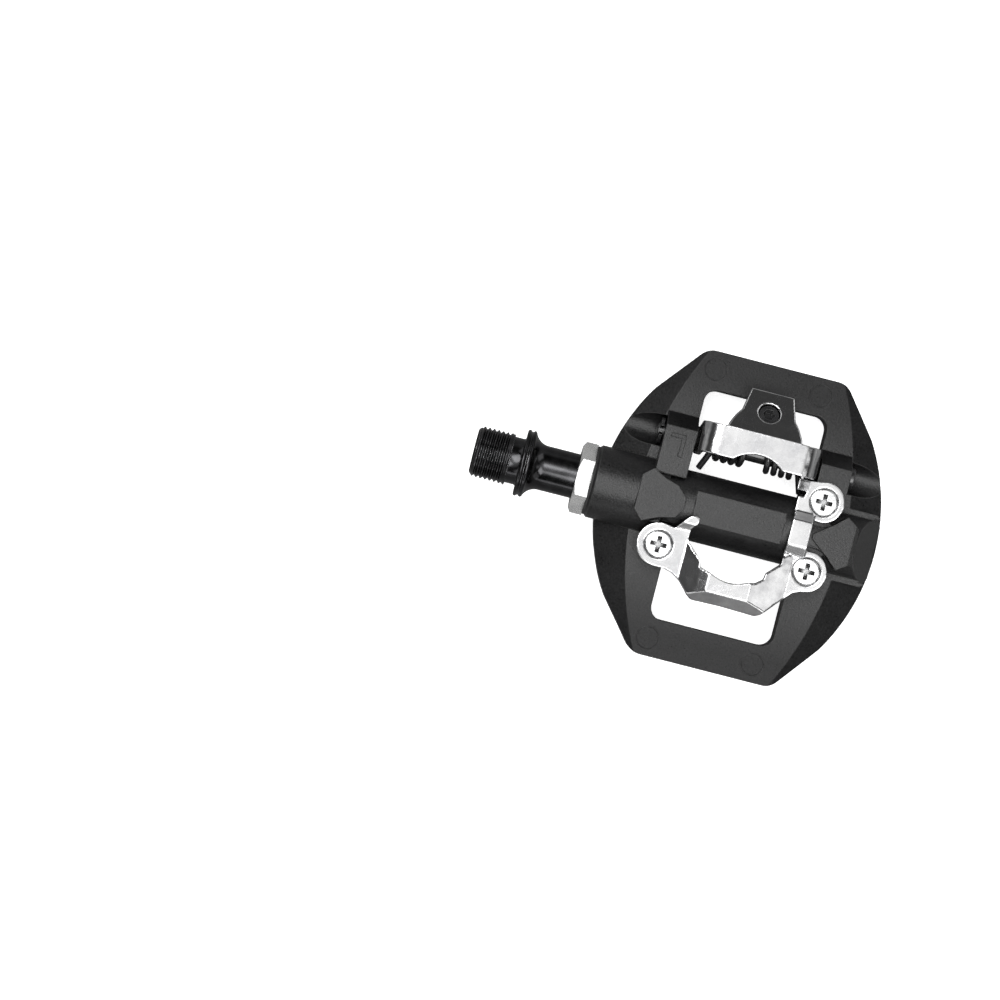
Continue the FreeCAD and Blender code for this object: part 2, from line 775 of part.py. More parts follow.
def cut_discs(body):
    for x in ("disc_inner_x", "-disc_outer_x"):
        for y in ("disc_y", "-disc_y"):
            primitive(body, "SubtractiveCylinder",
                      {"Radius": "disc_radius", "Height": "2"},
                      (x, y, "face_height - disc_depth"))


def cut_side_mark(body):
    """The letter that marks the left-hand pedal, sunk in the crank-side lug."""
    mark = new_sketch(body, "XY_Plane", lift="lug_height - mark_depth")
    outline(mark, [
        ("mark_x", "mark_y"),
        ("mark_x + mark_width", "mark_y"),
        ("mark_x + mark_width", "mark_y + mark_stroke"),
        ("mark_x + mark_stroke", "mark_y + mark_stroke"),
        ("mark_x + mark_stroke", "mark_y + mark_height"),
        ("mark_x", "mark_y + mark_height")])
    extrude(body, mark, "Pocket", "2", reverse=True)


def make_platform():
    body = new_body("platform_body")
    add_plate_and_rim(body)
    cut_windows(body)
    cut_rim_notches(body)
    add_bosses(body)
    add_lugs(body)
    join(body, make_barrel())
    add_barrel_pads(body)
    cut_seats(body)
    cut_pivot(body)
    cut_bores(body)
    cut_discs(body)
    cut_side_mark(body)


# ---------------------------------------------------------------- plate screws and nuts

def make_plate_screw(name, x, y):
    """A countersunk cross-recess screw, drawn down from the top of its head."""
    body = new_body(name, x="-reach + (%s)" % x, y=y, z="seat_height + sheet_thickness - 0.15")
    profile = new_sketch(body, "XZ_Plane")
    outline(profile, [
        ("0", "0.15"),
        ("screw_head_radius - 0.5", "0"),
        ("screw_head_radius", "-0.2"),
        ("screw_head_radius", "-0.35"),
        ("screw_radius", "-0.35 - screw_head_radius + screw_radius"),
        ("screw_radius", "-screw_length + 0.5"),
        ("screw_radius - 0.5", "-screw_length"),
        ("0", "-screw_length")])
    revolve(body, profile, axis="V_Axis")
    half, arm = "cross_width / 2", "cross_arm / 2"
    for across, along in ((half, arm), (arm, half)):
        slot = new_sketch(body, "XY_Plane", lift="-cross_depth")
        rectangle(slot, "-" + across, "-" + along, across, along)
        extrude(body, slot, "Pocket", "cross_depth + 1", reverse=True)


def make_plate_nut(name, x, y):
    """A lock nut, drawn down from its seat at the bottom of the pocket."""
    body = new_body(name, x="-reach + (%s)" % x, y=y, z="boss_bottom + nut_pocket_depth")
    block = new_sketch(body, "XY_Plane", lift="-nut_height")
    hexagon(block, "nut_flats")
    extrude(body, block, "Pad", "nut_height")
    collar = new_sketch(body, "XZ_Plane")
    outline(collar, [
        ("nut_collar_radius + 0.35", "-nut_height"),
        ("nut_collar_radius", "-nut_height - 0.35"),
        ("nut_collar_radius", "-nut_height - nut_collar_height + 0.4"),
        ("nut_collar_radius - 0.4", "-nut_height - nut_collar_height"),
        ("0", "-nut_height - nut_collar_height"),
        ("0", "-nut_height")])
    revolve(body, collar, axis="V_Axis")
    bore = new_sketch(body, "XZ_Plane")
    low = "-nut_height - nut_collar_height"
    outline(bore, [
        ("0", "1"),
        ("screw_radius + running_gap", "1"),
        ("screw_radius + running_gap", "-nut_height"),
        ("nylon_radius", "-nut_height"),
        ("nylon_radius", low + " - 1"),
        ("0", low + " - 1")])
    revolve(body, bore, "Groove", "V_Axis")


def make_plate_fasteners():
    for place, (x, y) in PLATE_SCREWS.items():
        make_plate_screw(place + "_plate_screw", x, y)
        make_plate_nut(place + "_plate_nut", x, y)
    rings = new_body("nut_nylon_rings", many=True)
    low = "boss_bottom + nut_pocket_depth - nut_height - nut_collar_height + 0.2"
    for x, y in PLATE_SCREWS.values():
        ring = new_sketch(rings, "XY_Plane", lift=low)
        circle(ring, x, y, "nylon_radius")
        circle(ring, x, y, "screw_radius + running_gap")
        extrude(rings, ring, "Pad", "nut_collar_height - 0.2")


# ---------------------------------------------------------------- hook plate

def prism(plane, corners, low, high):
    """A solid from a polygon on the XY, XZ or YZ plane, swept from low to high across it."""
    lift = {
        "XY": lambda u, v, w: Vector(u, v, w),
        "XZ": lambda u, v, w: Vector(u, w, v),
        "YZ": lambda u, v, w: Vector(w, u, v)}[plane]
    points = [lift(u, v, low) for u, v in corners]
    face = Part.Face(Part.makePolygon(points + points[:1]))
    return face.extrude(lift(0, 0, high - low))


def folded_sheet(plane, ridge, drop, low, high):
    """A sheet folded along a ridge line of (u, z) points, with its underside drop below."""
    under = [(u, z - drop) for u, z in reversed(ridge)]
    return prism(plane, ridge + under, low, high)


def column(x, y, radius, low, high):
    return Part.makeCylinder(radius, high - low, Vector(x, y, low))


# Plan of the hook, in (x, y) about the cleat's centre: from the crank-side ear along the
# front and round the outer ear to the mouth, then from the mouth back to the crank-side ear.
HOOK_OUTER_EDGE = [
    (20.0, 18.1), (17.0, 18.1), (14.6, 18.8), (12.2, 20.4), (9.4, 23.5), (8.0, 24.4),
    (0.0, 24.2), (-9.4, 24.5), (-10.8, 23.8), (-16.0, 17.9), (-17.8, 16.0),
    (-20.0, 15.0), (-20.0, 7.0), (-14.4, 6.2), (-12.9, 7.4), (-12.9, 9.2), (-9.4, 12.6),
    (-9.1, 14.4), (-7.2, 15.8), (-5.6, 16.2)]
HOOK_INNER_EDGE = [
    (4.9, 16.2), (6.8, 15.6), (7.9, 15.2), (8.2, 13.6), (12.0, 9.9), (12.6, 8.8),
    (12.6, 7.2), (20.0, 6.4)]
HOOK_MOUTH_BOW = 1.3
# The tab beside the crank-side ear, and the shelf that joins the rear ear to the rail.
TAB_PLAN = [
    (16.6, 8.6), (16.6, 6.5), (14.5, 3.8), (13.5, 2.7), (12.2, 2.4), (11.0, 3.0),
    (11.0, 4.1), (12.4, 6.2), (12.6, 8.6)]
SHELF_PLAN = [(-20, -9.5), (-20, -14.9), (-15.2, -14.3), (-15.2, -9.4), (-14.6, -7.0)]


def make_hook_plate():
    """One pressed plate: the front hook, three ears, the rail that bridges the barrel,
    the crank-side tab and the stop tab in front of the jaw."""
    drop = size("sheet_thickness")
    ear = size("seat_height") + drop
    top = size("hook_top")
    rail = size("rail_top")
    seat = size("seat_height")
    inner_x, inner_y = size("inner_screw_x"), size("inner_screw_y")
    outer_x, outer_y = -size("outer_screw_x"), size("outer_screw_y")
    low, high = seat - 4, top + 2

    wings = [(-27, ear), (-15.6, ear), (-9.6, top - 1.1), (-6.2, top),
             (5.2, top), (7.8, top - 1.1), (12.8, ear), (27, ear)]
    wall = [(-30, top + 1), (21.2 - 1 / 1.118, top + 1), (25.2, top - 4.0 * 1.118)]
    floor = [(x, low - 1) for x in (27, -27)]
    ground = [(y, low - 1) for y in (25.2, -30)]
    outside = prism("XZ", wings + floor, 6.0, 25.2).common(
        prism("YZ", wall + ground, -27, 27))
    lowered = [(x, z - drop) for x, z in wings]
    inset = [(y, z - drop * 1.5) for y, z in wall]
    inside = prism("XZ", lowered + floor, 5.0, 26.0).common(
        prism("YZ", inset + ground, -28, 28))
    hood = outside.cut(inside)

    (start, lip), (end, _) = HOOK_OUTER_EDGE[-1], HOOK_INNER_EDGE[0]
    steps = 8
    mouth = [(start + (end - start) * step / steps,
              lip + HOOK_MOUTH_BOW * math.sin(math.pi * step / steps))
             for step in range(1, steps)]
    plan = HOOK_OUTER_EDGE + mouth + HOOK_INNER_EDGE
    hood = hood.common(prism("XY", plan, low, high))

    ears = [column(inner_x, inner_y, size("ear_radius"), seat, ear)]
    ears += [column(outer_x, y, size("outer_ear_radius"), seat, ear)
             for y in (outer_y, -outer_y)]

    bridge = [(9.5, ear), (6.2, ear), (3.6, rail), (-3.2, rail), (-5.8, ear), (-9.5, ear)]
    strip = folded_sheet("YZ", bridge, drop, -18.3, -12.9)
    shelf = prism("XY", SHELF_PLAN, seat, ear)
    stop = folded_sheet("XZ", [(-15.6, ear), (-15.0, ear), (-12.0, ear + 1.3)], drop,
                        -14.25, -11.2)
    tab = folded_sheet("YZ", [(9.0, ear), (6.6, ear), (4.9, 11.3), (2.3, 11.3)], drop,
                       10.0, 17.0)
    tab = tab.common(prism("XY", TAB_PLAN, low, high))

    plate = hood.fuse(ears + [strip, shelf, stop, tab])
    hole = size("screw_hole")
    head = size("screw_head_radius + head_clearance")
    brim = ear - size("head_sink")
    for x, y in ((inner_x, inner_y), (outer_x, outer_y), (outer_x, -outer_y)):
        plate = plate.cut([
            column(x, y, hole, low, high),
            Part.makeCone(hole, head, head - hole, Vector(x, y, brim - (head - hole))),
            column(x, y, head, brim, high)])
    feature = document.addObject("Part::Feature", "hook_plate")
    feature.Label = "hook_plate"
    feature.Shape = plate.removeSplitter()
    feature.Placement = Placement(Vector(-size("reach"), 0, 0), Rotation())
    NODES.append(feature)


# ---------------------------------------------------------------- pivot and jaw

def make_pivot():
    """The pin with its head on the outer side, the clip that keeps it, and two washers."""
    pin = new_body("pivot_pin", y="pivot_y")
    profile = new_sketch(pin, "XZ_Plane")
    clip_low = "pin_half_length - clip_width - 0.6"
    outline(profile, [
        ("-pin_half_length", "0"),
        ("-pin_half_length", "pin_head_radius - 0.4"),
        ("-pin_half_length + 0.4", "pin_head_radius"),
        ("-pin_half_length + pin_head_width", "pin_head_radius"),
        ("-pin_half_length + pin_head_width", "pin_radius"),
        (clip_low + " - 0.05", "pin_radius"),
        (clip_low + " - 0.05", "pin_radius - 0.4"),
        (clip_low + " + clip_width + 0.05", "pin_radius - 0.4"),
        (clip_low + " + clip_width + 0.05", "pin_radius"),
        ("pin_half_length - 0.3", "pin_radius"),
        ("pin_half_length", "pin_radius - 0.4"),
        ("pin_half_length", "0")])
    revolve(pin, profile)
    clip = new_body("pin_clip", y="pivot_y")
    ring = new_sketch(clip, "YZ_Plane", lift=clip_low)
    circle(ring, "0", "0", "clip_radius")
    circle(ring, "0", "0", "pin_radius - 0.4")
    extrude(clip, ring, "Pad", "clip_width")
    mouth = new_sketch(clip, "YZ_Plane", lift=clip_low + " - 1")
    rectangle(mouth, "-1.2", "0", "1.2", "clip_radius + 1")
    extrude(clip, mouth, "Pocket", "clip_width + 2", reverse=True)
    washers = new_body("pivot_washers", y="pivot_y", many=True)
    for low in ("jaw_half_width + fit_gap", "-lug_inner + fit_gap"):
        ring = new_sketch(washers, "YZ_Plane", lift=low)
        circle(ring, "0", "0", "washer_radius")
        circle(ring, "0", "0", "pin_radius + fit_gap")
        extrude(washers, ring, "Pad", "lug_inner - jaw_half_width - 2 * fit_gap")


TONGUE_TURN = Rotation(Vector(1, 0, 0), SIZES["tongue_angle"])
TENSION_Z = "jaw_top + (tension_y - jaw_rear) * tan(tongue_angle * 1 deg)"


def make_jaw_plate():
    """The jaw, bent from one plate: a flat lip, two ears on the pin and the sloping tongue."""
    body = new_body("jaw_plate")
    bow = new_sketch(body, "XZ_Plane", lift="-(pivot_y + jaw_eye_radius)")
    w, t, r = "jaw_half_width", "jaw_sheet", "jaw_bend"
    foot = "-jaw_eye_radius"
    outline(bow, [
        ("-" + w, foot),
        ("-" + w, "jaw_top - " + r, "-" + r),
        ("-%s + %s" % (w, r), "jaw_top"),
        ("%s - %s" % (w, r), "jaw_top", "-" + r),
        (w, "jaw_top - " + r),
        (w, foot),
        ("%s - %s" % (w, t), foot),
        ("%s - %s" % (w, t), "jaw_top - " + r, "%s - %s" % (r, t)),
        ("%s - %s" % (w, r), "jaw_top - " + t),
        ("-%s + %s" % (w, r), "jaw_top - " + t, "%s - %s" % (r, t)),
        ("-%s + %s" % (w, t), "jaw_top - " + r),
        ("-%s + %s" % (w, t), foot)])
    extrude(body, bow, "Pad", "pivot_y + jaw_eye_radius - jaw_rear")
    side = new_sketch(body, "YZ_Plane")
    rectangle(side, "jaw_rear - 3", "-jaw_eye_radius - 3", "pivot_y + 9", "jaw_top + 3")
    outline(side, [
        ("jaw_front", "jaw_top + 1"),
        ("jaw_rear", "jaw_top + 1"),
        ("jaw_rear", "jaw_top - 5.5"),
        ("pivot_y - jaw_eye_radius", "0", "jaw_eye_radius * 1.0001"),
        ("pivot_y + jaw_eye_radius", "0"),
        ("jaw_front", "jaw_top - 5.5")])
    extrude(body, side, "Pocket", "2 * jaw_half_width + 4", symmetric=True)
    fold = new_sketch(body, "YZ_Plane")
    run = "(tongue_end - jaw_rear)"
    slope = "tan(tongue_angle * 1 deg)"
    lean = "sin(tongue_angle * 1 deg)"
    rise = "cos(tongue_angle * 1 deg)"
    outline(fold, [
        ("jaw_rear + 1.2", "jaw_top"),
        ("jaw_rear", "jaw_top"),
        ("tongue_end", "jaw_top + %s * %s" % (run, slope)),
        ("tongue_end + jaw_sheet * " + lean,
         "jaw_top + %s * %s - jaw_sheet * %s" % (run, slope, rise)),
        ("jaw_rear + jaw_sheet * tan(tongue_angle * 0.5 deg)", "jaw_top - jaw_sheet"),
        ("jaw_rear + 1.2", "jaw_top - jaw_sheet")])
    extrude(body, fold, "Pad", "2 * tongue_root_half", symmetric=True)
    for sign, bulge in (("", "-"), ("-", "")):
        flank = new_sketch(body, "XY_Plane", lift="jaw_top - 16")
        waist_x, waist_y = "%s7.3" % sign, "-28.3"
        root = "%s(tongue_root_half + 0.2)" % sign
        outline(flank, [
            (root, "jaw_rear", "%s14" % bulge),
            (waist_x, waist_y),
            ("%stongue_end_half" % sign, "tongue_end - 1"),
            ("%s14" % sign, "tongue_end - 1"),
            ("%s14" % sign, "jaw_rear")])
        extrude(body, flank, "Pocket", "20", reverse=True)
    notch = new_sketch(body, "XY_Plane", lift="jaw_top - 5")
    depth = "jaw_notch_depth"
    outline(notch, [
        ("jaw_notch_half", "jaw_front"),
        ("jaw_notch_half", "jaw_front + 2"),
        ("-jaw_notch_half", "jaw_front + 2"),
        ("-jaw_notch_half", "jaw_front",
         "(jaw_notch_half ^ 2 + %s ^ 2) / (2 * %s)" % (depth, depth))])
    extrude(body, notch, "Pocket", "8", reverse=True)
    primitive(body, "SubtractiveCylinder",
              {"Radius": "pin_radius + fit_gap", "Height": "2 * jaw_half_width + 4"},
              ("-jaw_half_width - 2", "pivot_y", "0"), ALONG_X)
    along = "(jaw_sheet + 4)"
    primitive(body, "SubtractiveCylinder",
              {"Radius": "tension_hole", "Height": "2 * " + along},
              ("0", "tension_y + %s * %s" % (along, lean),
               "%s - %s * %s" % (TENSION_Z, along, rise)), TONGUE_TURN)


def on_tongue(name):
    """A body whose z runs up out of the tongue at the tension screw's hole."""
    body = new_body(name, y="tension_y", z=TENSION_Z)
    body.Placement = Placement(body.Placement.Base, TONGUE_TURN)
    return body


def make_tension_screw():
    """The adjusting screw: a socketed head in the tongue's hole, a collar under the tongue."""
    body = on_tongue("tension_screw")
    collar_top = "-jaw_sheet - fit_gap"
    profile = new_sketch(body, "XZ_Plane")
    outline(profile, [
        ("0", "-tension_head_sink"),
        ("tension_head_radius - 0.3", "-tension_head_sink"),
        ("tension_head_radius", "-tension_head_sink - 0.3"),
        ("tension_head_radius", collar_top),
        ("tension_flange_radius", collar_top),
        ("tension_flange_radius", collar_top + " - tension_flange"),
        ("screw_radius", collar_top + " - tension_flange"),
        ("screw_radius", "-tension_length + 1.2"),
        ("screw_radius - 0.9", "-tension_length"),
        ("0", "-tension_length")])
    revolve(body, profile, axis="V_Axis")
    socket = new_sketch(body, "XY_Plane", lift="-tension_head_sink - 2")
    hexagon(socket, "tension_socket")
    extrude(body, socket, "Pocket", "4", reverse=True)


def make_tension_nut():
    """The block that the screw draws up the tongue's underside against the spring legs."""
    body = on_tongue("tension_nut")
    half, deep = "tension_nut_half", "tension_nut_depth / 2"
    block = new_sketch(body, "XY_Plane", lift="-tension_nut_low")
    outline(block, [
        (half, "-(%s) + 1" % deep), (half, "%s - 1" % deep),
        ("%s - 1" % half, deep), ("-%s + 1" % half, deep),
        ("-" + half, "%s - 1" % deep), ("-" + half, "-(%s) + 1" % deep),
        ("-%s + 1" % half, "-(%s)" % deep), ("%s - 1" % half, "-(%s)" % deep)])
    circle(block, "0", "0", "screw_radius + fit_gap")
    extrude(body, block, "Pad", "tension_nut_height")


# ---------------------------------------------------------------- springs

def make_spring(name, side):
    """A torsion spring on the pin: its rear leg lies under the tension nut, and its front
    leg splays out to bear on the barrel."""
    wire, track = size("spring_wire"), size("spring_track")
    pitch, start = size("spring_pitch"), size("spring_start")
    first = math.radians(size("spring_rear_angle"))
    last = math.radians(size("spring_front_angle"))
    turns = size("spring_turns") + (first - last) / (2 * math.pi)

    def on_coil(angle, x):
        return Vector(x, track * math.cos(angle), track * math.sin(angle))

    def leg(end, way, length):
        return [Part.makeCylinder(wire, length, end, way), Part.makeSphere(wire, end)]

    helix = Part.makeHelix(pitch, turns * pitch, track, 0, True)
    section = Part.Wire(Part.makeCircle(wire, Vector(track, 0, 0), Vector(0, 1, 0)))
    coil = Part.Wire(helix).makePipeShell([section], True, True)
    coil.rotate(Vector(), Vector(0, 0, 1), math.degrees(first))
    coil.rotate(Vector(), Vector(1, 1, 1), 120)
    coil.translate(Vector(start, 0, 0))
    rear_way = Vector(0, -math.sin(first), math.cos(first))
    front_way = Vector(size("spring_splay") / size("spring_front_leg"),
                       math.sin(last), -math.cos(last))
    pieces = leg(on_coil(first, start), rear_way, size("spring_rear_leg"))
    pieces += leg(on_coil(last, start + turns * pitch), front_way, size("spring_front_leg"))
    shape = coil.fuse(pieces)
    if side < 0:
        shape = shape.mirror(Vector(), Vector(1, 0, 0))
    feature = document.addObject("Part::Feature", name)
    feature.Label = name
    feature.Shape = shape
    feature.Placement = Placement(Vector(-size("reach"), size("pivot_y"), 0), Rotation())
    NODES.append(feature)


# ---------------------------------------------------------------- build, check and write

def build():
    make_spindle()
    make_lock_sleeve()
    make_seals_and_bush()
    make_bearing_stack()
    make_platform()
    make_plate_fasteners()
    make_hook_plate()
    make_pivot()
    make_jaw_plate()
    make_tension_screw()
    make_tension_nut()
    make_spring("inner_spring", 1)
    make_spring("outer_spring", -1)
    document.recompute()


def check():
    for item in document.Objects:
        if "Invalid" in item.State or "Error" in item.State:
            raise ValueError("%s failed: %s" % (item.Name, item.State))
    for node in NODES:
        shape = node.Shape
        if shape.isNull() or not shape.isValid():
            raise ValueError("%s has no valid shape" % node.Label)
        print("%-32s %8.1f mm3 in %d" % (node.Label, shape.Volume, len(shape.Solids)))


def write():
    os.makedirs("parts", exist_ok=True)
    for node in NODES:
        node.Shape.exportStep("parts/%s.step" % node.Label)


build()
check()
write()
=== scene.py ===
import json
import math

import bmesh
import bpy
from mathutils import Matrix, Vector


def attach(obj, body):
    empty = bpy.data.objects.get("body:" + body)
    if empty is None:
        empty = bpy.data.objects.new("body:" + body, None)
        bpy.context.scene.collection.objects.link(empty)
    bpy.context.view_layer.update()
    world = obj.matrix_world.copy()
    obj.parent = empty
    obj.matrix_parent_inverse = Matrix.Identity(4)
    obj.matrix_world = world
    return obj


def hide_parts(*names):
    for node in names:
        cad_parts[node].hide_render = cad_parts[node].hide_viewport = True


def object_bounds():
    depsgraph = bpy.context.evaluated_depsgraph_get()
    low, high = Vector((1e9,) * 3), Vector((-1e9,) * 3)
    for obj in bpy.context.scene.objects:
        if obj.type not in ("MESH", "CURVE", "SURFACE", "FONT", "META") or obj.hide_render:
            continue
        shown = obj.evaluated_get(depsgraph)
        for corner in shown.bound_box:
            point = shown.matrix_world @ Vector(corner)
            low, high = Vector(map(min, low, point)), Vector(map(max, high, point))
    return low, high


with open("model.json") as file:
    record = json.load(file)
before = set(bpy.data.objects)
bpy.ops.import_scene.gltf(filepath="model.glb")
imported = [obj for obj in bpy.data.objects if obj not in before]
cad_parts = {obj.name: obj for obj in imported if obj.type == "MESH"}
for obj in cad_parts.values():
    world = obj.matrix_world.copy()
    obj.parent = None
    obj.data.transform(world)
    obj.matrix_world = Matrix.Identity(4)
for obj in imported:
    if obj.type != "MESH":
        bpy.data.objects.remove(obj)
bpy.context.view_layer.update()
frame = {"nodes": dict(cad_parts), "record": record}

# A left-hand clipless pedal. Lengths are in metres; MM turns millimetres into them.
# +X runs along the spindle to the crank, +Y to the front, +Z up on the cleat side.
# REACH is how far the middle of the binding lies from the crank's face.
MM = 0.001
REACH = 61.0 * MM
NODES = frame["nodes"]
scene = bpy.context.scene


# ---------------------------------------------------------------- materials

class Shader:
    """A material's node tree, with short calls for the nodes that the finishes share."""

    def __init__(self, name):
        self.material = bpy.data.materials.new(name)
        self.material.use_nodes = True
        self.tree = self.material.node_tree
        self.surface = self.tree.nodes["Principled BSDF"]
        self.place = self.node("ShaderNodeTexCoord").outputs["Object"]

    def node(self, kind, **values):
        made = self.tree.nodes.new(kind)
        for name, value in values.items():
            setattr(made, name, value)
        return made

    def link(self, source, target):
        self.tree.links.new(source, target)

    def put(self, **values):
        for name, value in values.items():
            self.surface.inputs[name.replace("_", " ")].default_value = value

    def stretched(self, scale):
        """Object coordinates scaled by axis, for grain that runs one way."""
        mapping = self.node("ShaderNodeMapping")
        mapping.inputs["Scale"].default_value = scale
        self.link(self.place, mapping.inputs["Vector"])
        return mapping.outputs["Vector"]

    def noise(self, scale, detail=3.0, rough=0.55, place=None):
        made = self.node("ShaderNodeTexNoise")
        made.inputs["Scale"].default_value = scale
        made.inputs["Detail"].default_value = detail
        made.inputs["Roughness"].default_value = rough
        self.link(place or self.place, made.inputs["Vector"])
        return made.outputs["Fac"]

    def spread(self, value, low, high, to_low, to_high):
        """A value mapped from one range to another, held inside it."""
        made = self.node("ShaderNodeMapRange")
        for name, number in (("From Min", low), ("From Max", high),
                             ("To Min", to_low), ("To Max", to_high)):
            made.inputs[name].default_value = number
        self.link(value, made.inputs["Value"])
        return made.outputs["Result"]

    def colours(self, factor, low, high):
        """A blend from one colour to another."""
        made = self.node("ShaderNodeMix", data_type="RGBA")
        made.inputs["A"].default_value = (*low, 1)
        made.inputs["B"].default_value = (*high, 1)
        self.link(factor, made.inputs["Factor"])
        return made.outputs["Result"]

    def over(self, factor, below, colour):
        """A colour laid over another by a mask."""
        made = self.node("ShaderNodeMix", data_type="RGBA")
        self.link(below, made.inputs["A"])
        made.inputs["B"].default_value = (*colour, 1)
        self.link(factor, made.inputs["Factor"])
        return made.outputs["Result"]

    def math(self, operation, a, b=None):
        """One arithmetic step on sockets or plain numbers."""
        made = self.node("ShaderNodeMath", operation=operation)
        for socket, value in zip(made.inputs, (a, b)):
            if value is None:
                continue
            if isinstance(value, (int, float)):
                socket.default_value = value
            else:
                self.link(value, socket)
        return made.outputs["Value"]

    def edges(self, radius):
        """(rounded normal, mask that is 1 on sharp edges, which some finishes use for a painted
        highlight).
        """
        rounded = self.node("ShaderNodeBevel", samples=6)
        rounded.inputs["Radius"].default_value = radius
        flat = self.node("ShaderNodeNewGeometry").outputs["Normal"]
        still_flat = 0.995
        full_edge_dot = 0.80
        dot = self.node("ShaderNodeVectorMath", operation="DOT_PRODUCT")
        self.link(rounded.outputs["Normal"], dot.inputs[0])
        self.link(flat, dot.inputs[1])
        mask = self.spread(dot.outputs["Value"], still_flat, full_edge_dot, 0.0, 1.0)
        return rounded.outputs["Normal"], mask

    def painted_cavity_shade(self, reach, low=0.35, high=0.85):
        """A mask that is 1 deep in corners and recesses, where the finishes lay painted shade."""
        made = self.node("ShaderNodeAmbientOcclusion", samples=6)
        made.inputs["Distance"].default_value = reach
        return self.spread(made.outputs["AO"], high, low, 0.0, 1.0)

    def bump(self, height, strength, distance, normal=None):
        """A normal tilted by a height, on top of another normal where one is given."""
        made = self.node("ShaderNodeBump")
        made.inputs["Strength"].default_value = strength
        made.inputs["Distance"].default_value = distance
        self.link(height, made.inputs["Height"])
        if normal is not None:
            self.link(normal, made.inputs["Normal"])
        return made.outputs["Normal"]

    def finish(self, colour, rough=None, normal=None):
        """The finished material, with the sockets that are given linked to its surface."""
        for source, name in ((colour, "Base Color"), (rough, "Roughness"), (normal, "Normal")):
            if source is not None:
                self.link(source, self.surface.inputs[name])
        return self.material


def cast_black():
    """Satin black coating on a die casting: fine grain, cloudiness, edges painted lighter as rubbing
    and as a painted highlight, painted shade in recesses, duller ends.
    """
    s = Shader("cast_black")
    middle_gloss = 0.48
    end_gloss = 0.22
    split = s.node("ShaderNodeSeparateXYZ")
    s.link(s.place, split.inputs["Vector"])
    from_barrel = s.math("ABSOLUTE", split.outputs["Y"])
    gloss = s.spread(from_barrel, 12 * MM, 36 * MM, middle_gloss, end_gloss)
    s.link(gloss, s.surface.inputs["Specular IOR Level"])
    grain = s.noise(1900.0, 2.0, 0.8)
    cloud = s.noise(70.0, 4.0)
    normal, edge = s.edges(0.40 * MM)
    # Lighter edges: partly rubbed coating, partly a painted highlight along the edges.
    rub_and_highlight = s.math("MULTIPLY", edge, s.spread(s.noise(420.0, 3.0), 0.35, 0.66, 0.15, 0.6))
    mottle = s.math("ADD", s.math("MULTIPLY", grain, 1.4), s.math("MULTIPLY", cloud, 0.6))
    body = s.colours(s.spread(mottle, 0.7, 1.3, 0, 1), (0.002, 0.002, 0.002), (0.013, 0.013, 0.0135))
    colour = s.over(rub_and_highlight, body, (0.13, 0.13, 0.13))
    # Painted shade: recesses and corners darkened to near black.
    colour = s.over(s.painted_cavity_shade(1.2 * MM), colour, (0.001, 0.001, 0.001))
    rough = s.spread(mottle, 0.7, 1.3, 0.27, 0.42)
    normal = s.bump(grain, 0.7, 0.12 * MM, normal)
    return s.finish(colour, rough, normal)


def pressed_chrome():
    """Bright plating on a pressed steel sheet: slow ripples, fine pits, duller patches, painted
    shade in recesses.
    """
    s = Shader("pressed_chrome")
    s.put(Metallic=1.0)
    ripple = s.noise(210.0, 2.0, 0.5)
    pits = s.noise(1500.0, 3.0, 0.65)
    smoke = s.noise(130.0, 5.0, 0.6)
    normal, _ = s.edges(0.25 * MM)
    colour = s.colours(s.spread(smoke, 0.35, 0.7, 0, 1), (0.86, 0.86, 0.86), (0.50, 0.50, 0.51))
    # Painted shade: recesses and corners darkened almost to black.
    colour = s.over(s.painted_cavity_shade(1.1 * MM, 0.30, 0.80), colour, (0.05, 0.05, 0.05))
    rough = s.spread(smoke, 0.3, 0.75, 0.05, 0.22)
    normal = s.bump(ripple, 0.30, 0.5 * MM, normal)
    normal = s.bump(pits, 0.12, 0.05 * MM, normal)
    return s.finish(colour, rough, normal)


def polished_black():
    """Black oxide over turned steel: glossy, with faint turning lines round the axis and a painted
    highlight on sharp edges.
    """
    s = Shader("polished_black")
    s.put(Metallic=1.0)
    lines = s.noise(900.0, 2.0, 0.6, s.stretched((9.0, 0.5, 0.5)))
    smoke = s.noise(180.0, 4.0)
    normal, edge = s.edges(0.18 * MM)
    base = s.colours(s.spread(smoke, 0.35, 0.7, 0, 1), (0.030, 0.030, 0.031), (0.075, 0.075, 0.078))
    # Painted highlight: sharp edges and thread crests painted light grey.
    colour = s.over(s.math("MULTIPLY", edge, 0.6), base, (0.55, 0.55, 0.56))
    rough = s.spread(s.math("ADD", lines, smoke), 0.7, 1.3, 0.10, 0.26)
    normal = s.bump(lines, 0.12, 0.03 * MM, normal)
    return s.finish(colour, rough, normal)


def satin_nickel():
    """Nickel plate with a soft, slightly uneven sheen and painted shade in recesses."""
    s = Shader("satin_nickel")
    s.put(Metallic=0.72)
    smoke = s.noise(240.0, 4.0)
    grain = s.noise(3200.0, 2.0)
    normal, _ = s.edges(0.30 * MM)
    colour = s.colours(s.spread(smoke, 0.3, 0.7, 0, 1), (0.86, 0.86, 0.85), (0.66, 0.66, 0.66))
    # Painted shade: recesses and corners darkened almost to black.
    colour = s.over(s.painted_cavity_shade(1.0 * MM, 0.30, 0.80), colour, (0.05, 0.05, 0.05))
    rough = s.spread(s.math("ADD", smoke, grain), 0.7, 1.3, 0.16, 0.34)
    return s.finish(colour, rough, s.bump(grain, 0.2, 0.03 * MM, normal))


